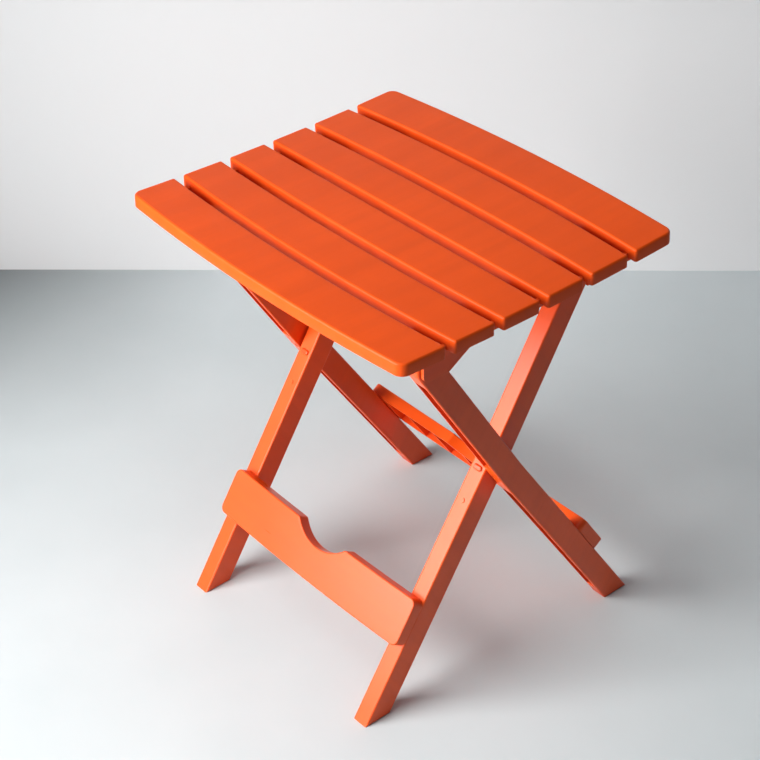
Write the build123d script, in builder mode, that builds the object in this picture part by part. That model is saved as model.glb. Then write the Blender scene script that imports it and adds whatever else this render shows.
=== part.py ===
"""Folding tray table: slatted top on two nested, crossed leg frames (millimetres).

X runs along the slats, Y runs across them from the front slat to the rear slat,
Z is up, and the floor is at Z = 0. The table stands open. The top is a little dished:
its front and rear edges stand higher than its middle.
"""
import os
from math import atan, cos, degrees, radians, sin, sqrt, tan

from build123d import *

# Table top
table_height = 497.0
top_dish_depth = 4.5
slat_length = 437.0
slat_thickness = 14.0
inner_slat_width = 48.0
middle_slat_width = 51.0
outer_slat_width = 55.0
slat_gap = 11.0
edge_bow_depth = 10.4
slat_wall = 2.5
slat_skin = 3.5
slat_rib = 2.5
slat_pocket_margin = 8.0
slat_pocket_count = 6
top_edge_radius = 2.6
slat_corner_radius = 2.8
outer_corner_radius = 11.0

# Leg frames
inner_frame_width = 314.0
frame_gap = 3.0
leg_width = 21.0
leg_depth = 29.0
leg_wall = 3.2
leg_web = 3.4
leg_edge_radius = 2.0
pivot_height = 262.0
upper_lean = 31.7
lower_lean = 33.3
pivot_block_length = 50.0
foot_block_length = 24.0
knuckle_margin = 4.0

# Hinge between the outer frame and the top
hinge_drop = 35.0
hinge_pin_radius = 4.5
hinge_pin_leg_depth = 18.0
hinge_pin_ear_depth = 2.6

# Pivot between the two frames
pivot_pin_radius = 6.0
pivot_pin_outer_depth = 16.5
pivot_pin_inner_depth = 18.0
lock_peg_radius = 2.2
lock_peg_drop = 11.0
lock_peg_head_length = 12.5
lock_peg_head_width = 6.4
lock_peg_head_height = 2.0
lock_peg_head_radius = 1.8
lock_peg_past_axis = 1.0
leg_button_radius = 2.8
leg_button_height = 0.8
leg_button_drop = 50.0
leg_dimple_radius = 3.0
leg_dimple_depth = 6.0
leg_dimple_rise = 4.0
leg_dimple_inset = 6.7

# Side rails under the slats
rail_flange_thickness = 4.0
rail_plate_thickness = 4.0
rail_end_inset = 12.0
rail_depth = 21.0
ear_drop = 10.0
ear_front = 11.5
ear_back = 21.0
ear_slope_run = 40.0
ear_corner_radius = 8.0
gap_web_thickness = 4.0
gap_web_height = 5.0
gap_web_inset = 14.0
slat_peg_radius = 4.0
slat_peg_inset = 26.5

# Rest blocks that carry the top on the inner legs
leg_top_gap = 2.0
rest_block_side = 2.0
rest_block_margin = 7.0
rest_block_back = 22.0
rest_lug_thickness = 12.0
stop_flat_inset = 6.0
stop_flat_height = 12.0
stop_flat_slope = 5.0
rest_peg_radius = 4.0
rest_peg_length = 8.0

# Braces between the legs
brace_foot_gap = 90.0
brace_height = 56.5
brace_bow_depth = 3.0
brace_thickness = 14.0
brace_skin = 3.0
brace_wall = 3.0
brace_corner_radius = 8.0
brace_edge_radius = 1.6
notch_width = 80.0
notch_depth = 17.5
notch_shoulder_radius = 5.0
brace_pocket_margin = 5.0
brace_rib = 2.5
front_pocket_count = 6
rear_pocket_count = 7
brace_peg_radius = 3.5
brace_peg_spacing = 28.0

# Clearances
fit_clearance = 0.05
rest_clearance = 0.4
ear_clearance = 0.4
end_clearance = 0.5
web_clearance = 0.25
cut_over = 1.0

# Derived places of the top
slat_underside = table_height - slat_thickness
inner_slat_start = slat_gap / 2
inner_slat_end = inner_slat_start + inner_slat_width
middle_slat_start = inner_slat_end + slat_gap
middle_slat_end = middle_slat_start + middle_slat_width
outer_slat_start = middle_slat_end + slat_gap
outer_slat_end = outer_slat_start + outer_slat_width
half_length = slat_length / 2
dish_rate = top_dish_depth / outer_slat_end**2

# Derived places of the frames
inner_leg_reach = slat_underside - leg_top_gap - pivot_height
hinge_height = slat_underside - hinge_drop
leg_half = leg_depth / 2
inner_outside = inner_frame_width / 2
inner_inside = inner_outside - leg_width
outer_inside = inner_outside + frame_gap
outer_outside = outer_inside + leg_width
upper = radians(upper_lean)
lower = radians(lower_lean)
mitre = (upper + lower) / 2
mitre_half = leg_half / cos((lower - upper) / 2)
lock_peg_turn = lower - atan(lock_peg_drop / leg_half)
lock_peg_seat = sqrt(leg_half**2 + lock_peg_drop**2)
hinge_arm = (hinge_height - pivot_height) / cos(upper)
hinge_y = -hinge_arm * sin(upper)
foot_arm = pivot_height / cos(lower)

# Derived places of the rails
ear_inside = outer_outside + ear_clearance
ear_outside = ear_inside + rail_plate_thickness
flange_inside = inner_outside + frame_gap + end_clearance
slat_peg_x = half_length - slat_peg_inset
gap_web_x = half_length - gap_web_inset
flange_outside = gap_web_x + gap_web_thickness / 2
rail_half_length = outer_slat_end - rail_end_inset
rest_inside = inner_inside - rest_block_side
rest_outside = inner_outside + rest_block_side
slat_pocket_half = rest_inside - slat_pocket_margin
leg_middle_x = inner_outside - leg_width / 2
outer_middle_x = outer_inside + leg_width / 2
front_pocket_span = 2 * (inner_inside - brace_pocket_margin)
rear_pocket_span = 2 * (outer_inside - brace_pocket_margin)


def bowed(end_y, x):
    """Y of a slat edge at x, for an edge that lies at end_y at the slat's ends."""
    share = 1 - (1 - abs(end_y) / outer_slat_end) ** 2
    outward = 1 if end_y > 0 else -1
    return end_y + outward * edge_bow_depth * share * (1 - (x / half_length) ** 2)


def slat_plane(start, end):
    """The plane of a slat's underside, tilted to the dish, for a slat from start to end."""
    middle = (start + end) / 2
    normal = Vector(0, -2 * dish_rate * middle, 1).normalized()
    top = Vector(0, middle, table_height + dish_rate * middle**2)
    return Plane(origin=top - normal * slat_thickness, x_dir=(1, 0, 0), z_dir=normal)


def slat_axis(start, end):
    """The direction square to the slat from start to end."""
    return Axis((0, 0, 0), slat_plane(start, end).z_dir)


def under_slat(start, end, y):
    """Height at y of the underside of the slat from start to end."""
    plane = slat_plane(start, end)
    return plane.origin.Z - (y - plane.origin.Y) * plane.z_dir.Y / plane.z_dir.Z


def seat_corner(first, second):
    """The corner, in y and z, where the undersides of two neighbouring slats would meet."""
    first_slope = under_slat(*first, 1) - under_slat(*first, 0)
    second_slope = under_slat(*second, 1) - under_slat(*second, 0)
    y = (under_slat(*first, 0) - under_slat(*second, 0)) / (second_slope - first_slope)
    return (y, under_slat(*first, y))


def brace_top(x):
    """Local y of a brace's upper edge at x, on an arc that dips by brace_bow_depth in the middle."""
    bend = (inner_outside**2 + brace_bow_depth**2) / (2 * brace_bow_depth)
    return brace_foot_gap + brace_height - brace_bow_depth + bend - sqrt(bend**2 - x**2)


def upper_point(along, off, side):
    """A point of the upper arm: along from the pivot, off towards the face above."""
    y = -along * sin(upper) + off * cos(upper)
    return (side * y, pivot_height + along * cos(upper) + off * sin(upper))


def lower_point(along, off, side):
    """A point of the lower arm: along from the pivot, off towards the face above."""
    y = along * sin(lower) + off * cos(lower)
    return (side * y, pivot_height - along * cos(lower) + off * sin(lower))


def mitre_point(off, side):
    """The corner between upper and lower arm, on the face above or below."""
    return (side * off * cos(mitre), pivot_height + off * sin(mitre))


def foot_point(off, side):
    """The corner of the foot on the floor, on the face above or below."""
    along = (pivot_height + off * sin(lower)) / cos(lower)
    return (lower_point(along, off, side)[0], 0.0)


def arc_point(y, radius):
    """The point at y on an arc about the pivot, above it."""
    return (y, pivot_height + sqrt(radius**2 - y**2))


def brace_plane(side):
    """The plane of a lower arm's upper face: local x along X, local y up the leg."""
    foot = lower_point(foot_arm, leg_half, side)
    outward = Vector(0, side * cos(lower), sin(lower))
    return Plane(origin=(0, foot[0], foot[1]), x_dir=(-side, 0, 0), z_dir=outward)


def leg_front_plane(along):
    """The plane of the right inner leg's front face, with its origin along the lower arm."""
    place = lower_point(along, leg_half, -1)
    normal = (0, -cos(lower), sin(lower))
    return Plane(origin=(leg_middle_x, place[0], place[1]), x_dir=(1, 0, 0), z_dir=normal)


def peg_plane():
    """The plane through the pivot axis that faces the head of the right lock peg."""
    outward = (0, -cos(lock_peg_turn), sin(lock_peg_turn))
    return Plane(origin=(leg_middle_x, 0, pivot_height), x_dir=(1, 0, 0), z_dir=outward)


# Shared corners of the leg profiles: outer frame on side 1, inner frame on side -1
shoulder = sqrt(inner_leg_reach**2 - leg_half**2)
inner_tip_back = upper_point(shoulder, -leg_half, -1)
stop_top = arc_point(inner_tip_back[0] - stop_flat_inset, inner_leg_reach)
stop_slope = tan(radians(stop_flat_slope))
stop_run = inner_tip_back[0] - stop_top[0] - stop_slope * (stop_top[1] - inner_tip_back[1])
stop_along = stop_run / (sin(upper) + stop_slope * cos(upper))
stop_bottom = upper_point(shoulder - stop_along, -leg_half, -1)
upper_pocket_start = pivot_block_length / 2
outer_pocket_end = hinge_arm - leg_half - knuckle_margin
inner_pocket_end = shoulder - pivot_block_length / 2
lower_pocket_end = foot_arm - leg_half * tan(lower) - foot_block_length

# Outer frame: right leg
with BuildPart() as outer_right_leg:
    with BuildSketch(Plane.YZ.offset(outer_inside)):
        with BuildLine():
            Polyline(
                upper_point(hinge_arm, leg_half, 1),
                mitre_point(mitre_half, 1),
                foot_point(leg_half, 1),
                foot_point(-leg_half, 1),
                mitre_point(-mitre_half, 1),
                upper_point(hinge_arm, -leg_half, 1),
            )
            ThreePointArc(
                upper_point(hinge_arm, -leg_half, 1),
                upper_point(hinge_arm + leg_half, 0, 1),
                upper_point(hinge_arm, leg_half, 1),
            )
        make_face()
    extrude(amount=leg_width)
    leg_sides = outer_right_leg.faces().filter_by(Axis.X)
    fillet(leg_sides.edges().filter_by(GeomType.LINE), leg_edge_radius)
    with BuildSketch(Plane.YZ.offset(outer_inside + leg_wall)):
        with BuildLine():
            Polyline(
                upper_point(upper_pocket_start, leg_half - leg_web, 1),
                upper_point(outer_pocket_end, leg_half - leg_web, 1),
                upper_point(outer_pocket_end, -leg_half - cut_over, 1),
                upper_point(upper_pocket_start, -leg_half - cut_over, 1),
                close=True,
            )
        make_face()
        with BuildLine():
            Polyline(
                lower_point(upper_pocket_start, leg_half - leg_web, 1),
                lower_point(lower_pocket_end, leg_half - leg_web, 1),
                lower_point(lower_pocket_end, -leg_half - cut_over, 1),
                lower_point(upper_pocket_start, -leg_half - cut_over, 1),
                close=True,
            )
        make_face()
    extrude(amount=leg_width - 2 * leg_wall, mode=Mode.SUBTRACT)
    with BuildSketch(Plane.YZ.offset(outer_outside)):
        with Locations((hinge_y, hinge_height)):
            Circle(hinge_pin_radius + fit_clearance)
    extrude(amount=-(hinge_pin_leg_depth + end_clearance), mode=Mode.SUBTRACT)
    with BuildSketch(Plane.YZ.offset(outer_inside)):
        with Locations((0, pivot_height)):
            Circle(pivot_pin_radius + fit_clearance)
    extrude(amount=pivot_pin_outer_depth + end_clearance, mode=Mode.SUBTRACT)
    dimple = upper_point(leg_dimple_rise, -leg_half, 1)
    with BuildSketch(
        Plane(
            origin=(outer_inside + leg_dimple_inset, dimple[0], dimple[1]),
            x_dir=(1, 0, 0),
            z_dir=(0, -cos(upper), -sin(upper)),
        )
    ):
        Circle(leg_dimple_radius)
    extrude(amount=-leg_dimple_depth, mode=Mode.SUBTRACT)
    with BuildSketch(brace_plane(1)):
        with GridLocations(0, brace_peg_spacing, 1, 2):
            with Locations((-outer_middle_x, brace_foot_gap + brace_height / 2)):
                Circle(brace_peg_radius + fit_clearance)
    extrude(amount=-leg_web, mode=Mode.SUBTRACT)

# Outer frame: left leg
with BuildPart() as outer_left_leg:
    mirror(outer_right_leg.part, about=Plane.YZ)

# Inner frame: right leg
with BuildPart() as inner_right_leg:
    with BuildSketch(Plane.YZ.offset(inner_inside)):
        with BuildLine():
            Polyline(
                upper_point(shoulder, leg_half, -1),
                mitre_point(mitre_half, -1),
                foot_point(leg_half, -1),
                foot_point(-leg_half, -1),
                mitre_point(-mitre_half, -1),
                stop_bottom,
                stop_top,
            )
            ThreePointArc(
                stop_top,
                upper_point(inner_leg_reach, 0, -1),
                upper_point(shoulder, leg_half, -1),
            )
        make_face()
    extrude(amount=leg_width)
    leg_sides = inner_right_leg.faces().filter_by(Axis.X)
    fillet(leg_sides.edges().filter_by(GeomType.LINE), leg_edge_radius)
    with BuildSketch(Plane.YZ.offset(inner_inside + leg_wall)):
        with BuildLine():
            Polyline(
                upper_point(upper_pocket_start, leg_half - leg_web, -1),
                upper_point(inner_pocket_end, leg_half - leg_web, -1),
                upper_point(inner_pocket_end, -leg_half - cut_over, -1),
                upper_point(upper_pocket_start, -leg_half - cut_over, -1),
                close=True,
            )
        make_face()
        with BuildLine():
            Polyline(
                lower_point(upper_pocket_start, leg_half - leg_web, -1),
                lower_point(lower_pocket_end, leg_half - leg_web, -1),
                lower_point(lower_pocket_end, -leg_half - cut_over, -1),
                lower_point(upper_pocket_start, -leg_half - cut_over, -1),
                close=True,
            )
        make_face()
    extrude(amount=leg_width - 2 * leg_wall, mode=Mode.SUBTRACT)
    with BuildSketch(Plane.YZ.offset(inner_outside)):
        with Locations((0, pivot_height)):
            Circle(pivot_pin_radius + fit_clearance)
    extrude(amount=-(pivot_pin_inner_depth + end_clearance), mode=Mode.SUBTRACT)
    with BuildSketch(peg_plane()):
        Circle(lock_peg_radius + fit_clearance)
    extrude(amount=lock_peg_seat + lock_peg_drop, mode=Mode.SUBTRACT)
    with BuildSketch(leg_front_plane(leg_button_drop)):
        Circle(leg_button_radius)
    extrude(amount=leg_button_height, taper=20)
    with BuildSketch(brace_plane(-1)):
        with GridLocations(0, brace_peg_spacing, 1, 2):
            with Locations((leg_middle_x, brace_foot_gap + brace_height / 2)):
                Circle(brace_peg_radius + fit_clearance)
    extrude(amount=-leg_web, mode=Mode.SUBTRACT)

# Inner frame: left leg
with BuildPart() as inner_left_leg:
    mirror(inner_right_leg.part, about=Plane.YZ)

# Front brace on the inner legs, with the finger notch in its upper edge
notch_top = brace_top(notch_width / 2)
front_end = brace_top(inner_outside)
rear_end = brace_top(outer_outside)

with BuildPart() as front_brace:
    with BuildSketch(brace_plane(-1)) as front_outline:
        with BuildLine():
            ThreePointArc(
                (-inner_outside, front_end - brace_height),
                (0, brace_top(0) - brace_height),
                (inner_outside, front_end - brace_height),
            )
            Line((inner_outside, front_end - brace_height), (inner_outside, front_end))
            ThreePointArc((inner_outside, front_end), (0, brace_top(0)), (-inner_outside, front_end))
            Line((-inner_outside, front_end), (-inner_outside, front_end - brace_height))
        make_face()
        fillet(front_outline.vertices(), brace_corner_radius)
        with BuildLine():
            ThreePointArc(
                (-notch_width / 2, notch_top),
                (0, brace_top(0) - notch_depth),
                (notch_width / 2, notch_top),
            )
            Polyline(
                (notch_width / 2, notch_top),
                (notch_width / 2, notch_top + notch_depth),
                (-notch_width / 2, notch_top + notch_depth),
                (-notch_width / 2, notch_top),
            )
        make_face(mode=Mode.SUBTRACT)
        shoulders = front_outline.vertices().sort_by(lambda v: abs(abs(v.X) - notch_width / 2))[:2]
        fillet(shoulders, notch_shoulder_radius)
    extrude(amount=brace_thickness)
    front_face = front_brace.faces().filter_by(GeomType.PLANE).sort_by(SortBy.AREA)[-2:]
    fillet(front_face.sort_by(Axis.Y)[0].edges(), brace_edge_radius)
    with BuildSketch(brace_plane(-1)) as front_pocket:
        add(front_outline.sketch_local)
        offset(amount=-brace_wall)
        with Locations((0, brace_foot_gap + brace_height / 2)):
            Rectangle(front_pocket_span, brace_height, mode=Mode.INTERSECT)
            with GridLocations(front_pocket_span / front_pocket_count, 0, front_pocket_count - 1, 1):
                Rectangle(brace_rib, brace_height, mode=Mode.SUBTRACT)
    extrude(amount=brace_thickness - brace_skin, mode=Mode.SUBTRACT)
    with BuildSketch(brace_plane(-1)):
        with GridLocations(0, brace_peg_spacing, 1, 2):
            with Locations(
                (leg_middle_x, brace_foot_gap + brace_height / 2),
                (-leg_middle_x, brace_foot_gap + brace_height / 2),
            ):
                Circle(brace_peg_radius)
    extrude(amount=-leg_web)

# Rear brace on the outer legs
with BuildPart() as rear_brace:
    with BuildSketch(brace_plane(1)) as rear_outline:
        with BuildLine():
            ThreePointArc(
                (-outer_outside, rear_end - brace_height),
                (0, brace_top(0) - brace_height),
                (outer_outside, rear_end - brace_height),
            )
            Line((outer_outside, rear_end - brace_height), (outer_outside, rear_end))
            ThreePointArc((outer_outside, rear_end), (0, brace_top(0)), (-outer_outside, rear_end))
            Line((-outer_outside, rear_end), (-outer_outside, rear_end - brace_height))
        make_face()
        fillet(rear_outline.vertices(), brace_corner_radius)
        with BuildLine():
            ThreePointArc(
                (-notch_width / 2, notch_top),
                (0, brace_top(0) - notch_depth),
                (notch_width / 2, notch_top),
            )
            Polyline(
                (notch_width / 2, notch_top),
                (notch_width / 2, notch_top + notch_depth),
                (-notch_width / 2, notch_top + notch_depth),
                (-notch_width / 2, notch_top),
            )
        make_face(mode=Mode.SUBTRACT)
        shoulders = rear_outline.vertices().sort_by(lambda v: abs(abs(v.X) - notch_width / 2))[:2]
        fillet(shoulders, notch_shoulder_radius)
    extrude(amount=brace_thickness)
    rear_face = rear_brace.faces().filter_by(GeomType.PLANE).sort_by(SortBy.AREA)[-2:]
    fillet(rear_face.sort_by(Axis.Y)[-1].edges(), brace_edge_radius)
    with BuildSketch(brace_plane(1)) as rear_pocket:
        add(rear_outline.sketch_local)
        offset(amount=-brace_wall)
        with Locations((0, brace_foot_gap + brace_height / 2)):
            Rectangle(rear_pocket_span, brace_height, mode=Mode.INTERSECT)
            with GridLocations(rear_pocket_span / rear_pocket_count, 0, rear_pocket_count - 1, 1):
                Rectangle(brace_rib, brace_height, mode=Mode.SUBTRACT)
    extrude(amount=brace_thickness - brace_skin, mode=Mode.SUBTRACT)
    with BuildSketch(brace_plane(1)):
        with GridLocations(0, brace_peg_spacing, 1, 2):
            with Locations(
                (outer_middle_x, brace_foot_gap + brace_height / 2),
                (-outer_middle_x, brace_foot_gap + brace_height / 2),
            ):
                Circle(brace_peg_radius)
    extrude(amount=-leg_web)

# Pivot pins, fixed in the inner legs and turning in the outer legs
with BuildPart() as right_pivot_pin:
    with BuildSketch(Plane.YZ.offset(inner_outside - pivot_pin_inner_depth)):
        with Locations((0, pivot_height)):
            Circle(pivot_pin_radius)
    extrude(amount=pivot_pin_inner_depth + frame_gap + pivot_pin_outer_depth)
    with BuildSketch(peg_plane().offset(-lock_peg_past_axis - fit_clearance)):
        Circle(lock_peg_radius + fit_clearance)
    extrude(amount=pivot_pin_radius + lock_peg_past_axis + cut_over, mode=Mode.SUBTRACT)

with BuildPart() as left_pivot_pin:
    mirror(right_pivot_pin.part, about=Plane.YZ)

# Lock pegs that hold the pivot pins, with their heads on the front of the inner legs
with BuildPart() as pivot_lock_pegs:
    with BuildSketch(peg_plane().offset(-lock_peg_past_axis)):
        Circle(lock_peg_radius)
    extrude(amount=lock_peg_seat + lock_peg_past_axis + lock_peg_drop)
    split(bisect_by=leg_front_plane(lock_peg_drop), keep=Keep.BOTTOM)
    with BuildSketch(leg_front_plane(lock_peg_drop)):
        SlotOverall(lock_peg_head_length, lock_peg_head_width)
    extrude(amount=lock_peg_head_height)
    head_face = pivot_lock_pegs.faces().filter_by(GeomType.PLANE).sort_by_distance(
        leg_front_plane(lock_peg_drop).offset(lock_peg_head_height).origin
    )[0]
    fillet(head_face.edges(), lock_peg_head_radius)
    mirror(about=Plane.YZ)

# Slats of the rear half: shells with cross ribs, and a peg into each rail
inner_middle = (inner_slat_start + inner_slat_end) / 2
middle_middle = (middle_slat_start + middle_slat_end) / 2
outer_middle = (outer_slat_start + outer_slat_end) / 2
pocket_pitch = 2 * slat_pocket_half / slat_pocket_count
pocket_length = pocket_pitch - slat_rib

with BuildPart() as slat_4:
    with BuildSketch(slat_plane(inner_slat_start, inner_slat_end)):
        with BuildLine():
            ThreePointArc(
                (-half_length, -inner_slat_width / 2),
                (0, bowed(inner_slat_start, 0) - inner_middle),
                (half_length, -inner_slat_width / 2),
            )
            Line((half_length, -inner_slat_width / 2), (half_length, inner_slat_width / 2))
            ThreePointArc(
                (half_length, inner_slat_width / 2),
                (0, bowed(inner_slat_end, 0) - inner_middle),
                (-half_length, inner_slat_width / 2),
            )
            Line((-half_length, inner_slat_width / 2), (-half_length, -inner_slat_width / 2))
        make_face()
    extrude(amount=slat_thickness)
    fillet(slat_4.edges().filter_by(slat_axis(inner_slat_start, inner_slat_end)), slat_corner_radius)
    fillet(slat_4.faces().sort_by(Axis.Z)[-1].edges(), top_edge_radius)
    pocket_start = bowed(inner_slat_start, 0) - inner_middle + slat_wall
    pocket_end = bowed(inner_slat_end, slat_pocket_half) - inner_middle - slat_wall
    with BuildSketch(slat_plane(inner_slat_start, inner_slat_end)):
        with Locations((0, (pocket_start + pocket_end) / 2)):
            with GridLocations(pocket_pitch, 0, slat_pocket_count, 1):
                Rectangle(pocket_length, pocket_end - pocket_start)
    extrude(amount=slat_thickness - slat_skin, mode=Mode.SUBTRACT)
    with BuildSketch(slat_plane(inner_slat_start, inner_slat_end)):
        with GridLocations(2 * slat_peg_x, 0, 2, 1):
            Circle(slat_peg_radius)
    extrude(amount=-rail_flange_thickness)

with BuildPart() as slat_5:
    with BuildSketch(slat_plane(middle_slat_start, middle_slat_end)):
        with BuildLine():
            ThreePointArc(
                (-half_length, -middle_slat_width / 2),
                (0, bowed(middle_slat_start, 0) - middle_middle),
                (half_length, -middle_slat_width / 2),
            )
            Line((half_length, -middle_slat_width / 2), (half_length, middle_slat_width / 2))
            ThreePointArc(
                (half_length, middle_slat_width / 2),
                (0, bowed(middle_slat_end, 0) - middle_middle),
                (-half_length, middle_slat_width / 2),
            )
            Line((-half_length, middle_slat_width / 2), (-half_length, -middle_slat_width / 2))
        make_face()
    extrude(amount=slat_thickness)
    fillet(slat_5.edges().filter_by(slat_axis(middle_slat_start, middle_slat_end)), slat_corner_radius)
    fillet(slat_5.faces().sort_by(Axis.Z)[-1].edges(), top_edge_radius)
    pocket_start = bowed(middle_slat_start, 0) - middle_middle + slat_wall
    pocket_end = bowed(middle_slat_end, slat_pocket_half) - middle_middle - slat_wall
    with BuildSketch(slat_plane(middle_slat_start, middle_slat_end)):
        with Locations((0, (pocket_start + pocket_end) / 2)):
            with GridLocations(pocket_pitch, 0, slat_pocket_count, 1):
                Rectangle(pocket_length, pocket_end - pocket_start)
    extrude(amount=slat_thickness - slat_skin, mode=Mode.SUBTRACT)
    with BuildSketch(slat_plane(middle_slat_start, middle_slat_end)):
        with GridLocations(2 * slat_peg_x, 0, 2, 1):
            Circle(slat_peg_radius)
    extrude(amount=-rail_flange_thickness)

with BuildPart() as slat_6:
    with BuildSketch(slat_plane(outer_slat_start, outer_slat_end)):
        with BuildLine():
            ThreePointArc(
                (-half_length, -outer_slat_width / 2),
                (0, bowed(outer_slat_start, 0) - outer_middle),
                (half_length, -outer_slat_width / 2),
            )
            Line((half_length, -outer_slat_width / 2), (half_length, outer_slat_width / 2))
            ThreePointArc(
                (half_length, outer_slat_width / 2),
                (0, bowed(outer_slat_end, 0) - outer_middle),
                (-half_length, outer_slat_width / 2),
            )
            Line((-half_length, outer_slat_width / 2), (-half_length, -outer_slat_width / 2))
        make_face()
    extrude(amount=slat_thickness)
    slat_corners = slat_6.edges().filter_by(slat_axis(outer_slat_start, outer_slat_end)).sort_by(Axis.Y)
    fillet(slat_corners[:2], slat_corner_radius)
    slat_corners = slat_6.edges().filter_by(slat_axis(outer_slat_start, outer_slat_end)).sort_by(Axis.Y)
    fillet(slat_corners[-2:], outer_corner_radius)
    fillet(slat_6.faces().sort_by(Axis.Z)[-1].edges(), top_edge_radius)
    pocket_start = bowed(outer_slat_start, 0) - outer_middle + slat_wall
    pocket_end = bowed(outer_slat_end, slat_pocket_half) - outer_middle - slat_wall
    with BuildSketch(slat_plane(outer_slat_start, outer_slat_end)):
        with Locations((0, (pocket_start + pocket_end) / 2)):
            with GridLocations(pocket_pitch, 0, slat_pocket_count, 1):
                Rectangle(pocket_length, pocket_end - pocket_start)
    extrude(amount=slat_thickness - slat_skin, mode=Mode.SUBTRACT)
    with BuildSketch(slat_plane(outer_slat_start, outer_slat_end)):
        with GridLocations(2 * slat_peg_x, 0, 2, 1):
            Circle(slat_peg_radius)
    extrude(amount=-rail_flange_thickness)

# Slats of the front half, mirrored before the rear slat gets its rest block holes
with BuildPart() as slat_3:
    mirror(slat_4.part, about=Plane.XZ)

with BuildPart() as slat_2:
    mirror(slat_5.part, about=Plane.XZ)

with BuildPart() as slat_1:
    mirror(slat_6.part, about=Plane.XZ)

rest_peg_y = (bowed(middle_slat_start, leg_middle_x) + bowed(middle_slat_end, leg_middle_x)) / 2
with BuildPart() as drilled_slat_5:
    add(slat_5.part)
    with BuildSketch(slat_plane(middle_slat_start, middle_slat_end)):
        with GridLocations(2 * leg_middle_x, 0, 2, 1):
            with Locations((0, rest_peg_y - middle_middle)):
                Circle(rest_peg_radius + fit_clearance)
    extrude(amount=rest_peg_length + end_clearance, mode=Mode.SUBTRACT)

# Side rails with the hinge ears, and webs that close the gaps near the slat ends
ear_bottom = hinge_height - ear_drop
ear_front_y = hinge_y - ear_front
ear_back_y = hinge_y + ear_back
rail_bottom = slat_underside - rail_depth
gap_centres = (0.0, inner_slat_end + slat_gap / 2, middle_slat_end + slat_gap / 2)
slat_spans = (
    (inner_slat_start, inner_slat_end),
    (middle_slat_start, middle_slat_end),
    (outer_slat_start, outer_slat_end),
)
rear_seat = [
    seat_corner(slat_spans[0], slat_spans[1]),
    seat_corner(slat_spans[1], slat_spans[2]),
    (rail_half_length, under_slat(outer_slat_start, outer_slat_end, rail_half_length)),
]
middle_seat = (0.0, under_slat(inner_slat_start, inner_slat_end, 0.0))
rail_seat = [(-y, z) for y, z in reversed(rear_seat)] + [middle_seat] + rear_seat
plate_seat = [(y, z - rail_flange_thickness / 2) for y, z in rail_seat if y > ear_front_y]

with BuildPart() as right_rail:
    with BuildSketch(Plane.YZ.offset(flange_inside)):
        with BuildLine():
            Polyline(
                *rail_seat,
                *[(y, z - rail_flange_thickness) for y, z in reversed(rail_seat)],
                close=True,
            )
        make_face()
    extrude(amount=flange_outside - flange_inside)
    fillet(right_rail.edges().filter_by(Axis.Z), slat_corner_radius)
    with BuildSketch(Plane.YZ.offset(ear_inside)) as ear_outline:
        with BuildLine():
            Polyline(
                (ear_front_y, rail_bottom),
                (ear_front_y, ear_bottom),
                (ear_back_y, ear_bottom),
                (ear_back_y + ear_slope_run, rail_bottom),
                (rail_half_length, rail_bottom),
                *reversed(plate_seat),
                (ear_front_y, plate_seat[0][1]),
                close=True,
            )
        make_face()
        ear_tip = ear_outline.vertices().sort_by_distance((ear_front_y, ear_bottom, 0))[0]
        fillet(ear_tip, ear_corner_radius)
    extrude(amount=rail_plate_thickness)
    for side in (1, -1):
        for centre in gap_centres:
            if side == 1 or centre > 0:
                web_y = side * bowed(centre, gap_web_x)
                web_tilt = atan(2 * dish_rate * web_y)
                root_y = web_y + slat_thickness * sin(web_tilt)
                root_z = table_height + dish_rate * web_y**2 - slat_thickness * cos(web_tilt)
                with Locations(Location((gap_web_x, root_y, root_z), (degrees(web_tilt), 0, 0))):
                    with Locations((0, 0, -rail_flange_thickness / 2)):
                        Box(
                            gap_web_thickness,
                            slat_gap - 2 * web_clearance,
                            gap_web_height + rail_flange_thickness / 2,
                            align=(Align.CENTER, Align.CENTER, Align.MIN),
                        )
    for first, last in slat_spans:
        with BuildSketch(slat_plane(first, last), slat_plane(-last, -first)):
            with Locations((slat_peg_x, 0)):
                Circle(slat_peg_radius + fit_clearance)
        extrude(amount=-rail_flange_thickness - cut_over, mode=Mode.SUBTRACT)
    with BuildSketch(Plane.YZ.offset(ear_inside)):
        with Locations((hinge_y, hinge_height)):
            Circle(hinge_pin_radius + fit_clearance)
    extrude(amount=hinge_pin_ear_depth, mode=Mode.SUBTRACT)

with BuildPart() as left_rail:
    mirror(right_rail.part, about=Plane.YZ)

# Hinge pins, held in the ears and turning in the tops of the outer legs
with BuildPart() as right_hinge_pin:
    with BuildSketch(Plane.YZ.offset(outer_outside - hinge_pin_leg_depth)):
        with Locations((hinge_y, hinge_height)):
            Circle(hinge_pin_radius)
    extrude(amount=hinge_pin_leg_depth + ear_clearance + hinge_pin_ear_depth)

with BuildPart() as left_hinge_pin:
    mirror(right_hinge_pin.part, about=Plane.YZ)

# Rest blocks: an arc over the inner leg tops, and a lug that stops the legs opening
rest_reach = inner_leg_reach + rest_clearance
rest_tip = upper_point(inner_leg_reach, 0, -1)
rest_front_y = rest_peg_y - rest_peg_radius - rest_block_margin
rest_back_y = rest_tip[0] + rest_block_back
lug_bottom_z = stop_top[1] - stop_flat_height
lug_top = arc_point(stop_top[0] + rest_clearance, rest_reach)
lug_bottom_y = lug_top[0] + stop_slope * (lug_top[1] - lug_bottom_z)

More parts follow.
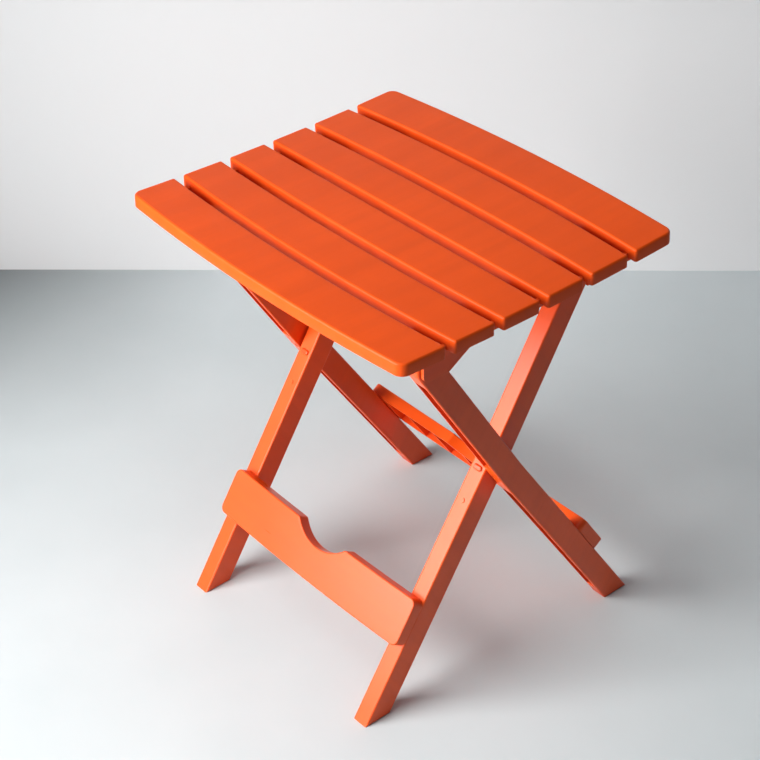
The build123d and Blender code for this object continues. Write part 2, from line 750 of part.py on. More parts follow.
with BuildPart() as right_rest_block:
    with BuildSketch(Plane.YZ.offset(rest_inside)):
        with BuildLine():
            Polyline(
                arc_point(rest_front_y, rest_reach),
                (rest_front_y, under_slat(middle_slat_start, middle_slat_end, rest_front_y)),
                (rest_back_y, under_slat(middle_slat_start, middle_slat_end, rest_back_y)),
                (lug_bottom_y + rest_lug_thickness, lug_bottom_z),
                (lug_bottom_y, lug_bottom_z),
                lug_top,
            )
            ThreePointArc(
                lug_top,
                arc_point((lug_top[0] + rest_front_y) / 2, rest_reach),
                arc_point(rest_front_y, rest_reach),
            )
        make_face()
    extrude(amount=rest_outside - rest_inside)
    with BuildSketch(slat_plane(middle_slat_start, middle_slat_end)):
        with Locations((leg_middle_x, rest_peg_y - middle_middle)):
            Circle(rest_peg_radius)
    extrude(amount=rest_peg_length)

with BuildPart() as left_rest_block:
    mirror(right_rest_block.part, about=Plane.YZ)

# Export
pieces = {
    "slat_1": slat_1,
    "slat_2": slat_2,
    "slat_3": slat_3,
    "slat_4": slat_4,
    "slat_5": drilled_slat_5,
    "slat_6": slat_6,
    "left_rail": left_rail,
    "right_rail": right_rail,
    "left_rest_block": left_rest_block,
    "right_rest_block": right_rest_block,
    "left_hinge_pin": left_hinge_pin,
    "right_hinge_pin": right_hinge_pin,
    "outer_left_leg": outer_left_leg,
    "outer_right_leg": outer_right_leg,
    "rear_brace": rear_brace,
    "inner_left_leg": inner_left_leg,
    "inner_right_leg": inner_right_leg,
    "front_brace": front_brace,
    "left_pivot_pin": left_pivot_pin,
    "right_pivot_pin": right_pivot_pin,
    "pivot_lock_pegs": pivot_lock_pegs,
}
os.makedirs("parts", exist_ok=True)
for name, piece in pieces.items():
    piece.part.label = name
    export_step(piece.part, f"parts/{name}.step")
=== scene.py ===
from math import atan, cos, pi, radians, sin

import bpy
from mathutils import Matrix, Vector


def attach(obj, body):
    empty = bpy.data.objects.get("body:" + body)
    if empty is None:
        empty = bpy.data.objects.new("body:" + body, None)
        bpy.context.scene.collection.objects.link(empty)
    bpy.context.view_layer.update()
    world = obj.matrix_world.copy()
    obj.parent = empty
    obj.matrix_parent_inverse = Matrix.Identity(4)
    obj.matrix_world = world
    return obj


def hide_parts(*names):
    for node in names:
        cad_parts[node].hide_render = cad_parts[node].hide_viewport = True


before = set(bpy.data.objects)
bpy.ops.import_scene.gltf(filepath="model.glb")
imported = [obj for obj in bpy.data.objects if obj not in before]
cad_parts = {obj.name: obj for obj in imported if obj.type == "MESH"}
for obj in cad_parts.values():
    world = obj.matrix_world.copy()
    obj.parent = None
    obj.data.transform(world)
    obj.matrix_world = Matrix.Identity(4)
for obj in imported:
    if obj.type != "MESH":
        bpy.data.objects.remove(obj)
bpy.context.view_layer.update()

scene = bpy.context.scene

# Sizes of the slatted top, in metres, as in the construction
top_height = 0.497
top_dish = 0.0045
slat_length = 0.437
slat_thickness = 0.014
slat_skin = 0.0035
slat_wall = 0.0025
slat_rib = 0.0025
pocket_half_span = 0.126
pockets_per_slat = 6
edge_bow = 0.0104
edge_radius = 0.0026
slat_corner = 0.0028
outer_corner = 0.011
peg_inset = 0.0265
peg_radius = 0.004
peg_length = 0.004
rest_hole_x = 0.1465
rest_hole_radius = 0.00405
rest_hole_depth = 0.0085
outermost_edge = 0.1815
rear_slats = {4: (0.0055, 0.0535), 5: (0.0645, 0.1155), 6: (0.1265, 0.1815)}

# Rounding of the slats' lower edges, in metres, which only these boards have
lower_edge_radius = 0.0005

# Fineness of the slat meshes: steps along bows and round corners, lengths in metres, angle in radians
bow_cuts = 35.0
corner_steps = 10
upper_edge_steps = 8
lower_edge_steps = 4
pocket_corner = 0.0015
pocket_corner_steps = 5
circle_steps = 32
weld_distance = 0.000008
crisp_angle = 0.6

# Lean of the legs' lower arms from upright, in radians
lower_lean = radians(33.3)

# Plastic: colours, roughness and specular level
resin = (0.86, 0.088, 0.006, 1.0)
darker_resin = (0.72, 0.072, 0.008, 1.0)
slat_roughness = 0.42
frame_roughness = 0.31
pin_roughness = 0.28
slat_shine = 0.18
frame_shine = 0.37

# Camera of the photograph: lens and sensor in millimetres, place in metres, angles in degrees
camera_lens = 88.792
camera_sensor = 36.0
camera_place = (1.28972, -1.08749, 1.46537)
camera_turn = 50.595
camera_dip = 34.887
camera_roll = -1.486

# Stage: ends of the wall's foot and the floor's depth in metres, and the direction along the wall
wall_left = Vector((-2.563, -1.768, 0.0))
wall_right = Vector((1.483, 2.659, 0.0))
wall_height = 0.9
floor_depth = Vector((3.0, -2.8, 0.0))
wall_direction = (0.675, 0.738)
daylight = (1.0, 0.99, 0.97)
skylight = (0.98, 0.99, 1.0)


# Node helpers
def add_node(tree, kind, values=None, **settings):
    """A node of that kind with its settings, and its inputs set or linked by name or number."""
    node = tree.nodes.new(kind)
    for setting, value in settings.items():
        setattr(node, setting, value)
    for key, value in (values or {}).items():
        socket = node.inputs[key]
        if isinstance(value, bpy.types.NodeSocket):
            tree.links.new(value, socket)
        else:
            socket.default_value = value
    return node


def maths(tree, operation, first, second=0.0, third=0.0):
    """One sum on numbers or links; the answer's socket."""
    kind = "ShaderNodeMath"
    node = add_node(tree, kind, {0: first, 1: second, 2: third}, operation=operation)
    return node.outputs[0]


# Slat boards
def bow_of(edge):
    """How far a slat edge bows out in the middle, for an edge that lies at that y at the ends."""
    outward = 1 if edge > 0 else -1
    return outward * edge_bow * (1 - (1 - abs(edge) / outermost_edge) ** 2)


def slat_board_tree():
    """Geometry nodes for one slat: a bowed, round-edged board, ribbed below, with a peg for each rail."""
    tree = bpy.data.node_groups.new("slat_board", "GeometryNodeTree")
    face = tree.interface
    face.new_socket("Board", in_out="OUTPUT", socket_type="NodeSocketGeometry")
    sizes = (
        "Length", "Thickness", "Front Edge", "Rear Edge", "Front Bow", "Rear Bow", "Edge Radius",
        "Lower Radius", "Front Corner", "Rear Corner", "Pocket Front", "Pocket Rear", "Pocket Half Span",
        "Rib", "Skin", "Peg X", "Peg Radius", "Peg Length", "Rest Hole X", "Rest Hole Y",
        "Rest Hole Radius", "Rest Hole Depth", "Tilt", "Middle Y", "Underside",
    )
    for size in sizes:
        face.new_socket(size, in_out="INPUT", socket_type="NodeSocketFloat")
    face.new_socket("Pockets", in_out="INPUT", socket_type="NodeSocketInt")
    face.new_socket("Rest Holes", in_out="INPUT", socket_type="NodeSocketBool")
    face.new_socket("Plastic", in_out="INPUT", socket_type="NodeSocketMaterial")
    given = tree.nodes.new("NodeGroupInput").outputs

    def sums(operation, first, second=0.0, third=0.0):
        return maths(tree, operation, first, second, third)

    def point(x=0.0, y=0.0, z=0.0):
        return add_node(tree, "ShaderNodeCombineXYZ", {0: x, 1: y, 2: z}).outputs[0]

    def moved(geometry, offset):
        values = {"Geometry": geometry, "Translation": offset}
        return add_node(tree, "GeometryNodeTransform", values).outputs[0]

    def joined(*pieces):
        node = tree.nodes.new("GeometryNodeJoinGeometry")
        for piece in reversed(pieces):
            tree.links.new(piece, node.inputs[0])
        return node.outputs[0]

    def filled(curve):
        return add_node(tree, "GeometryNodeFillCurve", {"Curve": curve}, mode="NGONS").outputs[0]

    def flipped(mesh):
        return add_node(tree, "GeometryNodeFlipFaces", {"Mesh": mesh}).outputs[0]

    def swept(curve, section):
        values = {"Curve": curve, "Profile Curve": section}
        return add_node(tree, "GeometryNodeCurveToMesh", values).outputs[0]

    def smooth(mesh, wanted):
        values = {"Geometry": mesh, "Shade Smooth": wanted}
        return add_node(tree, "GeometryNodeSetShadeSmooth", values, domain="FACE").outputs[0]

    def upright(low, high):
        """A straight section line; it runs from low to high, counted downwards from the underside."""
        values = {"Start": point(0.0, low), "End": point(0.0, high)}
        return add_node(tree, "GeometryNodeCurvePrimitiveLine", values).outputs[0]

    # Outline of the board: a rectangle whose long sides are cut up, bowed and rounded at the corners
    half = sums("MULTIPLY", given["Length"], 0.5)
    plain = add_node(
        tree, "GeometryNodeCurvePrimitiveQuadrilateral", {"Width": given["Length"], "Height": 1.0}
    )
    number = tree.nodes.new("GeometryNodeInputIndex").outputs[0]
    long_side = sums("SUBTRACT", 1.0, sums("MODULO", number, 2.0))
    cuts = sums("MULTIPLY", long_side, bow_cuts)
    cut_up = add_node(tree, "GeometryNodeSubdivideCurve", {"Curve": plain.outputs[0], "Cuts": cuts})
    place = tree.nodes.new("GeometryNodeInputPosition").outputs[0]
    axes = add_node(tree, "ShaderNodeSeparateXYZ", {0: place}).outputs
    share = sums("DIVIDE", axes["X"], half)
    arch = sums("SUBTRACT", 1.0, sums("MULTIPLY", share, share))
    front = sums("MULTIPLY_ADD", given["Front Bow"], arch, given["Front Edge"])
    rear = sums("MULTIPLY_ADD", given["Rear Bow"], arch, given["Rear Edge"])
    across = sums("ADD", axes["Y"], 0.5)
    bowed_y = sums("MULTIPLY_ADD", sums("SUBTRACT", rear, front), across, front)
    bowed = add_node(
        tree, "GeometryNodeSetPosition",
        {"Geometry": cut_up.outputs[0], "Position": point(axes["X"], bowed_y)},
    )
    at_end = sums("GREATER_THAN", sums("ABSOLUTE", axes["X"]), sums("SUBTRACT", half, 0.0001))
    at_rear = sums("GREATER_THAN", axes["Y"], 0.0)
    corner_gain = sums("SUBTRACT", given["Rear Corner"], given["Front Corner"])
    corner = sums("MULTIPLY", at_end, sums("MULTIPLY_ADD", corner_gain, at_rear, given["Front Corner"]))
    rounded = add_node(
        tree, "GeometryNodeFilletCurve",
        {"Curve": bowed.outputs[0], "Count": corner_steps, "Radius": corner, "Limit Radius": False},
        mode="POLY",
    )
    outline = rounded.outputs[0]

    # Rim: the rounded top edge, the side and the small lower edge, swept round the outline
    turn_in = sums("MULTIPLY", given["Edge Radius"], -1.0)
    side_top = sums("SUBTRACT", given["Edge Radius"], given["Thickness"])
    lower_in = sums("MULTIPLY", given["Lower Radius"], -1.0)
    upper_arc = add_node(
        tree, "GeometryNodeCurveArc",
        {
            "Resolution": upper_edge_steps, "Radius": given["Edge Radius"],
            "Start Angle": -pi / 2, "Sweep Angle": pi / 2,
        },
        mode="RADIUS",
    )
    lower_arc = add_node(
        tree, "GeometryNodeCurveArc",
        {
            "Resolution": lower_edge_steps, "Radius": given["Lower Radius"],
            "Start Angle": 0.0, "Sweep Angle": pi / 2,
        },
        mode="RADIUS",
    )
    section = joined(
        moved(upper_arc.outputs[0], point(turn_in, side_top)),
        upright(side_top, lower_in),
        moved(lower_arc.outputs[0], point(lower_in, lower_in)),
    )
    rim = smooth(swept(outline, section), True)

    # Top face, and the underside with its pockets and holes
    along = tree.nodes.new("GeometryNodeInputTangent").outputs[0]
    outward = add_node(
        tree, "ShaderNodeVectorMath", {0: along, 1: (0.0, 0.0, 1.0)}, operation="CROSS_PRODUCT"
    ).outputs[0]

    def drawn_in(amount):
        shift = add_node(tree, "ShaderNodeVectorMath", {0: outward, "Scale": amount}, operation="SCALE")
        values = {"Geometry": outline, "Offset": shift.outputs[0]}
        return add_node(tree, "GeometryNodeSetPosition", values).outputs[0]

    top_face = smooth(moved(filled(drawn_in(turn_in)), point(0.0, 0.0, given["Thickness"])), False)
    span = sums("MULTIPLY", given["Pocket Half Span"], 2.0)
    pitch = sums("DIVIDE", span, given["Pockets"])
    pocket = add_node(
        tree, "GeometryNodeCurvePrimitiveQuadrilateral",
        {
            "Width": sums("SUBTRACT", pitch, given["Rib"]),
            "Height": sums("SUBTRACT", given["Pocket Rear"], given["Pocket Front"]),
        },
    )
    pocket_round = add_node(
        tree, "GeometryNodeFilletCurve",
        {
            "Curve": pocket.outputs[0], "Count": pocket_corner_steps, "Radius": pocket_corner,
            "Limit Radius": False,
        },
        mode="POLY",
    )
    first_x = sums("MULTIPLY_ADD", pitch, 0.5, sums("MULTIPLY", given["Pocket Half Span"], -1.0))
    pocket_y = sums("MULTIPLY", sums("ADD", given["Pocket Front"], given["Pocket Rear"]), 0.5)
    row = add_node(
        tree, "GeometryNodeMeshLine",
        {"Count": given["Pockets"], "Start Location": point(first_x, pocket_y), "Offset": point(pitch)},
        mode="OFFSET",
    )
    pocket_row = add_node(
        tree, "GeometryNodeInstanceOnPoints",
        {"Points": row.outputs[0], "Instance": pocket_round.outputs[0]},
    )
    pockets = add_node(tree, "GeometryNodeRealizeInstances", {"Geometry": pocket_row.outputs[0]}).outputs[0]

    def pair_of_circles(radius, x, y):
        ring = add_node(
            tree, "GeometryNodeCurvePrimitiveCircle", {"Resolution": circle_steps, "Radius": radius},
            mode="RADIUS",
        ).outputs[0]
        return joined(moved(ring, point(x, y)), moved(ring, point(sums("MULTIPLY", x, -1.0), y)))

    pegs = pair_of_circles(given["Peg Radius"], given["Peg X"], 0.0)
    hole_pair = pair_of_circles(given["Rest Hole Radius"], given["Rest Hole X"], given["Rest Hole Y"])
    rest_holes = add_node(
        tree, "GeometryNodeSwitch", {"Switch": given["Rest Holes"], "True": hole_pair},
        input_type="GEOMETRY",
    ).outputs[0]
    under = joined(drawn_in(lower_in), pockets, pegs, rest_holes)
    underside = flipped(filled(under))
    pocket_depth = sums("SUBTRACT", given["Thickness"], given["Skin"])
    pocket_up = sums("MULTIPLY", pocket_depth, -1.0)
    hole_up = sums("MULTIPLY", given["Rest Hole Depth"], -1.0)
    peg_down = sums("MULTIPLY", given["Peg Length"], -1.0)
    pocket_walls = smooth(swept(pockets, upright(0.0, pocket_up)), True)
    pocket_roofs = flipped(moved(filled(pockets), point(0.0, 0.0, pocket_depth)))
    hole_walls = smooth(swept(rest_holes, upright(0.0, hole_up)), True)
    hole_roofs = flipped(moved(filled(rest_holes), point(0.0, 0.0, given["Rest Hole Depth"])))
    peg_walls = smooth(swept(pegs, upright(0.0, given["Peg Length"])), True)
    peg_ends = flipped(moved(filled(pegs), point(0.0, 0.0, peg_down)))
    faces_below = smooth(joined(underside, pocket_roofs, hole_roofs, peg_ends), False)

    # One closed board, with crisp edges only where faces meet sharply, tilted into its place
    whole = joined(rim, top_face, faces_below, pocket_walls, hole_walls, peg_walls)
    welded = add_node(tree, "GeometryNodeMergeByDistance", {"Geometry": whole, "Distance": weld_distance})
    bend = tree.nodes.new("GeometryNodeInputMeshEdgeAngle").outputs[0]
    crisp = add_node(
        tree, "GeometryNodeSetShadeSmooth",
        {
            "Geometry": welded.outputs[0], "Selection": sums("GREATER_THAN", bend, crisp_angle),
            "Shade Smooth": False,
        },
        domain="EDGE",
    )
    placed = add_node(
        tree, "GeometryNodeTransform",
        {
            "Geometry": crisp.outputs[0],
            "Translation": point(0.0, given["Middle Y"], given["Underside"]),
            "Rotation": point(given["Tilt"]),
        },
    )
    real = add_node(tree, "GeometryNodeRealizeInstances", {"Geometry": placed.outputs[0]})
    dressed = add_node(
        tree, "GeometryNodeSetMaterial", {"Geometry": real.outputs[0], "Material": given["Plastic"]}
    )
    result = tree.nodes.new("NodeGroupOutput")
    tree.links.new(dressed.outputs[0], result.inputs[0])
    return tree


def made_mesh(name, tree, values):
    """A piece whose plain mesh comes from a geometry node tree with these input values."""
    holder = bpy.data.objects.new(name, bpy.data.meshes.new(name))
    scene.collection.objects.link(holder)
    maker = holder.modifiers.new("maker", "NODES")
    maker.node_group = tree
    for socket in tree.interface.items_tree:
        if socket.in_out == "INPUT" and socket.name in values:
            maker[socket.identifier] = values[socket.name]
    bpy.context.view_layer.update()
    finished = holder.evaluated_get(bpy.context.evaluated_depsgraph_get())
    mesh = bpy.data.meshes.new_from_object(finished)
    holder.modifiers.remove(maker)
    mesh.name = name
    holder.data = mesh
    return holder


def slat_board(number, tree, plastic):
    """Board for slat 1 at the front to slat 6 at the rear; the front ones mirror the rear ones."""
    mirrored = number < 4
    start, end = rear_slats[7 - number if mirrored else number]
    corner_pair = (slat_corner, outer_corner if number in (1, 6) else slat_corner)
    pocket_front = start + bow_of(start) + slat_wall
    pocket_rear = end + bow_of(end) * (1 - (pocket_half_span / (slat_length / 2)) ** 2) - slat_wall
    bows = (bow_of(start), bow_of(end))
    middle = (start + end) / 2
    hole_share = 1 - (rest_hole_x / (slat_length / 2)) ** 2
    hole_y = (bow_of(start) + bow_of(end)) / 2 * hole_share
    edges = (start - middle, end - middle)
    pocket_edges = (pocket_front - middle, pocket_rear - middle)
    if mirrored:
        edges = (-edges[1], -edges[0])
        bows = (-bows[1], -bows[0])
        corner_pair = (corner_pair[1], corner_pair[0])
        pocket_edges = (-pocket_edges[1], -pocket_edges[0])
        middle = -middle
    rise = top_dish / outermost_edge**2
    tilt = atan(2 * rise * middle)
    values = {
        "Length": slat_length, "Thickness": slat_thickness, "Front Edge": edges[0], "Rear Edge": edges[1],
        "Front Bow": bows[0], "Rear Bow": bows[1], "Edge Radius": edge_radius,
        "Lower Radius": lower_edge_radius, "Front Corner": corner_pair[0], "Rear Corner": corner_pair[1],
        "Pocket Front": pocket_edges[0], "Pocket Rear": pocket_edges[1],
        "Pocket Half Span": pocket_half_span,
        "Rib": slat_rib, "Skin": slat_skin, "Peg X": slat_length / 2 - peg_inset, "Peg Radius": peg_radius,
        "Peg Length": peg_length, "Rest Hole X": rest_hole_x, "Rest Hole Y": hole_y,
        "Rest Hole Radius": rest_hole_radius, "Rest Hole Depth": rest_hole_depth, "Tilt": tilt,
        "Middle Y": middle + slat_thickness * sin(tilt),
        "Underside": top_height + rise * middle**2 - slat_thickness * cos(tilt),
        "Pockets": pockets_per_slat, "Rest Holes": number == 5, "Plastic": plastic,
    }
    board = made_mesh(f"slat_board_{number}", tree, values)
    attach(board, "tabletop")
    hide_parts(f"slat_{number}")
    return board


# Moulded plastic
def moulded_plastic(name, colour, flow_turn, flow_scale, roughness, seed, shine=frame_shine):
    """Satin moulded resin: clouding, flow streaks, fine grain, painted highlights on the edges patchy like
    rubbed wear, and painted shade in the corners.
    """
    material = bpy.data.materials.new(name)
    material.use_nodes = True
    tree = material.node_tree
    shader = tree.nodes["Principled BSDF"]
    shader.inputs["IOR"].default_value = 1.5
    shader.inputs["Specular IOR Level"].default_value = shine
    here = tree.nodes.new("ShaderNodeTexCoord").outputs["Object"]
    turned = {"Vector": here, "Rotation": (flow_turn, 0.0, 0.0)}
    along = add_node(tree, "ShaderNodeMapping", turned).outputs[0]
    stretched = add_node(tree, "ShaderNodeMapping", {"Vector": along, "Scale": flow_scale}).outputs[0]

    def noise(vector, scale, detail, offset):
        values = {"Vector": vector, "W": seed + offset, "Scale": scale, "Detail": detail, "Roughness": 0.55}
        return add_node(tree, "ShaderNodeTexNoise", values, noise_dimensions="4D").outputs["Fac"]

    def tinted(red, green, blue):
        return (min(1.0, colour[0] * red), colour[1] * green, colour[2] * blue, 1.0)

    def spread(value, low, high, out_low, out_high):
        values = {"Value": value, 1: low, 2: high, 3: out_low, 4: out_high}
        return add_node(tree, "ShaderNodeMapRange", values).outputs[0]

    def mixed(factor, first, second):
        node = add_node(tree, "ShaderNodeMix", {0: factor}, data_type="RGBA")
        for socket, value in ((node.inputs[6], first), (node.inputs[7], second)):
            if isinstance(value, bpy.types.NodeSocket):
                tree.links.new(value, socket)
            else:
                socket.default_value = value
        return node.outputs[2]

    clouds = noise(here, 7.0, 3.0, 0.0)
    streaks = noise(stretched, 1.0, 4.0, 3.0)
    grain = noise(here, 1500.0, 2.0, 5.0)
    ripple = noise(here, 60.0, 2.0, 7.0)
    rub_and_highlight_noise = noise(stretched, 6.0, 6.0, 11.0)
    deep = tinted(0.93, 0.93, 0.93)
    light = tinted(1.05, 1.10, 1.16)
    body = mixed(spread(clouds, 0.32, 0.68, 0.0, 1.0), deep, light)
    body = mixed(spread(streaks, 0.4, 0.7, 0.0, 0.6), body, tinted(0.86, 0.86, 0.86))
    shape = tree.nodes.new("ShaderNodeNewGeometry")
    # Painted highlight: edges rounded by the Bevel normal are lightened to pale peach, standing in for
    # light caught on the edge fillets. The rub noise breaks the highlight up and also varies the roughness.
    rounded = add_node(tree, "ShaderNodeBevel", {"Radius": 0.0012}, samples=4).outputs[0]
    agree = add_node(
        tree, "ShaderNodeVectorMath", {0: rounded, 1: shape.outputs["True Normal"]}, operation="DOT_PRODUCT"
    ).outputs["Value"]
    edge = spread(agree, 0.97, 0.72, 0.0, 1.0)
    painted_edge_highlight = maths(tree, "MULTIPLY", edge, spread(rub_and_highlight_noise, 0.42, 0.62, 0.3, 0.85))
    body = mixed(painted_edge_highlight, body, tinted(1.14, 2.2, 5.0))
    # Painted shade: ambient occlusion within 3 cm darkens and reddens corners, channels and the gaps
    # between parts, where shade falls, and roughens them a little.
    openness = add_node(tree, "ShaderNodeAmbientOcclusion", {"Distance": 0.03}, samples=8).outputs["AO"]
    painted_corner_shade = spread(openness, 0.7, 0.3, 0.0, 0.6)
    body = mixed(painted_corner_shade, body, tinted(0.75, 0.45, 0.4))
    tree.links.new(body, shader.inputs["Base Color"])
    dull = spread(clouds, 0.3, 0.7, roughness - 0.03, roughness + 0.03)
    dull = maths(tree, "ADD", dull, spread(rub_and_highlight_noise, 0.35, 0.75, -0.012, 0.018))
    dull = maths(tree, "MULTIPLY_ADD", painted_corner_shade, 0.3, dull)
    tree.links.new(dull, shader.inputs["Roughness"])
    fine = add_node(tree, "ShaderNodeBump", {"Strength": 0.25, "Distance": 0.00006, "Height": grain})
    wavy = add_node(
        tree, "ShaderNodeBump",
        {"Strength": 0.2, "Distance": 0.0004, "Height": ripple, "Normal": fine.outputs[0]},
    )
    tree.links.new(wavy.outputs[0], shader.inputs["Normal"])
    return material


# Studio
def photo_camera():
    """Camera at the photograph's angle."""
    data = bpy.data.cameras.new("photo_camera")
    data.sensor_width = camera_sensor
    data.lens = camera_lens
    camera = bpy.data.objects.new("photo_camera", data)
    scene.collection.objects.link(camera)
    turn = Matrix.Rotation(radians(camera_turn), 4, "Z")
    tilt = Matrix.Rotation(radians(90 - camera_dip), 4, "X")
    roll = Matrix.Rotation(radians(camera_roll), 4, "Z")
    place = Matrix.Translation(Vector(camera_place))
    camera.matrix_world = place @ turn @ tilt @ roll
    scene.camera = camera


def soft_lamp(name, place, aim, width, height, watts, spread, colour):
    """A rectangular lamp at a place, turned to a point."""
    data = bpy.data.lights.new(name, "AREA")
    data.shape = "RECTANGLE"
    data.size = width
    data.size_y = height
    data.energy = watts
    data.spread = radians(spread)
    data.color = colour
    lamp = bpy.data.objects.new(name, data)
    scene.collection.objects.link(lamp)
    lamp.location = place
    lamp.rotation_euler = (Vector(aim) - Vector(place)).to_track_quat("-Z", "Y").to_euler()


def sheet_of_stage(name, corners, material):
    """A flat stage piece through these corners."""
    mesh = bpy.data.meshes.new(name)
    mesh.from_pydata(corners, [], [tuple(range(len(corners)))])
    mesh.materials.append(material)
    piece = bpy.data.objects.new(name, mesh)
    scene.collection.objects.link(piece)


def seen_from_room(tree, shader):
    """Lets a stage paint show only from the room's side, so that the table can be seen from behind it."""
    clear = tree.nodes.new("ShaderNodeBsdfTransparent")
    behind = tree.nodes.new("ShaderNodeNewGeometry").outputs["Backfacing"]
    both = add_node(tree, "ShaderNodeMixShader", {0: behind, 1: shader.outputs[0], 2: clear.outputs[0]})
    tree.links.new(both.outputs[0], tree.nodes["Material Output"].inputs["Surface"])


def painted_floor():
    """Pale floor paint with faint mottling, and painted shade darkening the far left corner by the wall."""
    material = bpy.data.materials.new("painted_floor")
    material.use_nodes = True
    tree = material.node_tree
    shader = tree.nodes["Principled BSDF"]
    here = tree.nodes.new("ShaderNodeTexCoord").outputs["Object"]
    patches = {"Vector": here, "Scale": 5.0, "Detail": 6.0}
    mottle = add_node(tree, "ShaderNodeTexNoise", patches).outputs["Fac"]
    tone = add_node(tree, "ShaderNodeValToRGB", {"Fac": mottle})
    tone.color_ramp.elements[0].position = 0.3
    tone.color_ramp.elements[0].color = (0.572, 0.625, 0.645, 1.0)
    tone.color_ramp.elements[1].position = 0.7
    tone.color_ramp.elements[1].color = (0.61, 0.66, 0.68, 1.0)
    place = add_node(tree, "ShaderNodeSeparateXYZ", {0: here}).outputs
    x_share, y_share = wall_direction
    along_y = maths(tree, "MULTIPLY", place["Y"], y_share)
    along = maths(tree, "MULTIPLY_ADD", place["X"], x_share, along_y)
    out_y = maths(tree, "MULTIPLY", place["Y"], -x_share)
    from_wall = maths(tree, "MULTIPLY_ADD", place["X"], y_share, out_y)
    # Painted shade: towards the far left corner by the wall, the floor colour is mixed towards black,
    # standing in for the light falling off there.
    leftwards = {"Value": along, 1: -0.62, 2: -0.28, 3: 1.0, 4: 0.0}
    corner_end = add_node(tree, "ShaderNodeMapRange", leftwards).outputs[0]
    wallwards = {"Value": from_wall, 1: -0.7, 2: -0.25, 3: 0.62, 4: 0.0}
    by_wall = add_node(tree, "ShaderNodeMapRange", wallwards).outputs[0]
    shade = maths(tree, "MULTIPLY", corner_end, by_wall)
    shaded = add_node(tree, "ShaderNodeMix", {0: shade}, data_type="RGBA")
    tree.links.new(tone.outputs[0], shaded.inputs[6])
    shaded.inputs[7].default_value = (0.0, 0.0, 0.0, 1.0)
    tree.links.new(shaded.outputs[2], shader.inputs["Base Color"])
    specks = {"Vector": here, "Scale": 90.0, "Detail": 4.0}
    pits = add_node(tree, "ShaderNodeTexNoise", specks).outputs["Fac"]
    bump = add_node(tree, "ShaderNodeBump", {"Strength": 0.15, "Distance": 0.0008, "Height": pits})
    tree.links.new(bump.outputs[0], shader.inputs["Normal"])
    shader.inputs["Roughness"].default_value = 0.8
    shader.inputs["Specular IOR Level"].default_value = 0.2
    seen_from_room(tree, shader)
    return material


def white_wall():
    """Matt wall paint."""
    material = bpy.data.materials.new("white_wall")
    material.use_nodes = True
    tree = material.node_tree
    shader = tree.nodes["Principled BSDF"]
    shader.inputs["Base Color"].default_value = (0.79, 0.80, 0.815, 1.0)
    shader.inputs["Roughness"].default_value = 0.8
    seen_from_room(tree, shader)
    return material


def room_light():
    """Dim light from all round; the eye and reflections see a paler room, darker towards the ceiling."""
    world = bpy.data.worlds.new("room")
    scene.world = world
    world.use_nodes = True
    tree = world.node_tree
    background = tree.nodes["Background"]
    rays = tree.nodes.new("ShaderNodeLightPath").outputs
    shown = maths(tree, "MAXIMUM", rays["Is Camera Ray"], rays["Is Transmission Ray"])
    shown = maths(tree, "MAXIMUM", shown, maths(tree, "MULTIPLY", rays["Is Glossy Ray"], 0.5))
    towards = tree.nodes.new("ShaderNodeTexCoord").outputs["Generated"]
    rise = add_node(tree, "ShaderNodeSeparateXYZ", {0: towards}).outputs["Z"]
    upwards = {"Value": rise, 1: 0.15, 2: 0.55, 3: 0.8, 4: 0.05}
    pale = add_node(tree, "ShaderNodeMapRange", upwards).outputs[0]
    strength = add_node(tree, "ShaderNodeMapRange", {"Value": shown, 3: 0.06, 4: pale})
    background.inputs["Color"].default_value = (0.96, 0.98, 1.0, 1.0)
    tree.links.new(strength.outputs[0], background.inputs["Strength"])


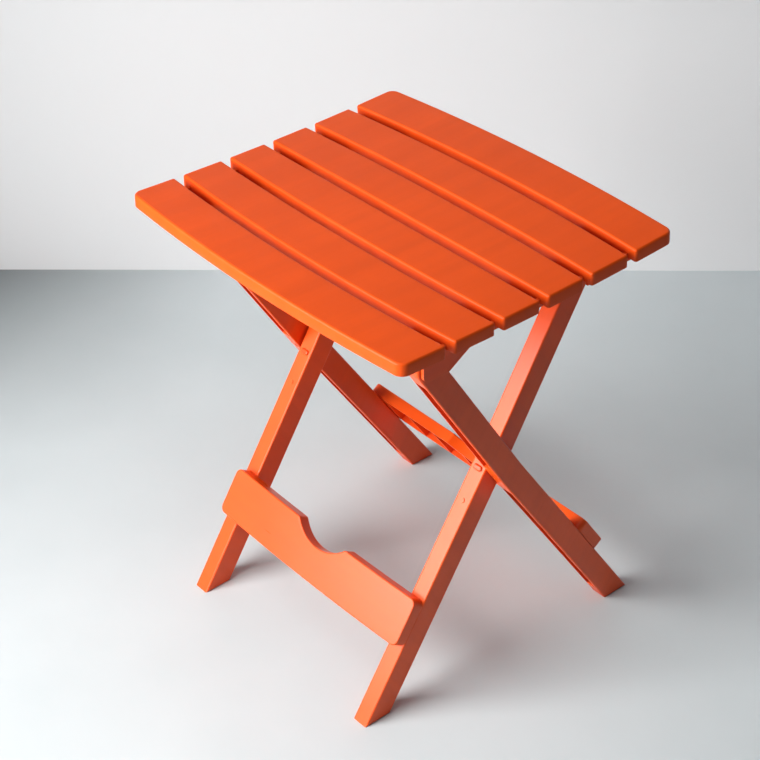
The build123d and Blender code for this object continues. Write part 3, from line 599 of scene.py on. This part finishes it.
def studio():
    """Pale floor and wall, a window and its bright sill in front of the table, and a ceiling lamp."""
    near_right = wall_right + floor_depth
    near_left = wall_left + floor_depth
    sheet_of_stage("floor", [wall_left, near_left, near_right, wall_right], painted_floor())
    up = Vector((0.0, 0.0, wall_height))
    sheet_of_stage("wall", [wall_right, wall_right + up, wall_left + up, wall_left], white_wall())
    soft_lamp("window", (-0.42, -1.43, 1.17), (0.4, 0.3, 0.25), 1.2, 0.8, 15.5, 105.0, daylight)
    soft_lamp("sill", (-0.28, -1.48, 0.53), (0.15, 0.0, 0.25), 1.2, 0.3, 7.0, 100.0, daylight)
    soft_lamp("ceiling", (0.3, -0.4, 2.15), (0.05, 0.05, 0.3), 1.4, 1.2, 9.0, 180.0, skylight)
    room_light()


# Finishes: marks run across the slats, and along the legs, braces and rails
across_slats = (38.0, 2.5, 2.5)
along_legs = (60.0, 60.0, 3.0)
along_braces = (3.0, 60.0, 60.0)
along_rails = (60.0, 3.0, 60.0)
all_ways = (60.0, 60.0, 60.0)
slat_resin = moulded_plastic("slat_resin", resin, 0.0, across_slats, slat_roughness, 1.0, slat_shine)
outer_leg_resin = moulded_plastic("outer_leg_resin", resin, lower_lean, along_legs, frame_roughness, 2.0)
inner_leg_resin = moulded_plastic("inner_leg_resin", resin, -lower_lean, along_legs, frame_roughness, 3.0)
front_brace_resin = moulded_plastic(
    "front_brace_resin", resin, -lower_lean, along_braces, frame_roughness, 4.0
)
rear_brace_resin = moulded_plastic(
    "rear_brace_resin", resin, lower_lean, along_braces, frame_roughness, 5.0
)
rail_resin = moulded_plastic("rail_resin", resin, 0.0, along_rails, frame_roughness, 6.0)
pin_resin = moulded_plastic("pin_resin", darker_resin, 0.0, all_ways, pin_roughness, 7.0)

node_resins = {
    "front_brace": front_brace_resin,
    "rear_brace": rear_brace_resin,
    "pivot_lock_pegs": pin_resin,
}
for side in ("left", "right"):
    node_resins[f"{side}_rail"] = rail_resin
    node_resins[f"{side}_rest_block"] = rail_resin
    node_resins[f"{side}_hinge_pin"] = pin_resin
    node_resins[f"{side}_pivot_pin"] = pin_resin
    node_resins[f"outer_{side}_leg"] = outer_leg_resin
    node_resins[f"inner_{side}_leg"] = inner_leg_resin
for node_name, resin_finish in node_resins.items():
    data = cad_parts[node_name].data
    data.materials.clear()
    data.materials.append(resin_finish)

board_tree = slat_board_tree()
for slat_number in range(1, 7):
    slat_board(slat_number, board_tree, slat_resin)

photo_camera()
studio()
scene.view_settings.view_transform = "Standard"
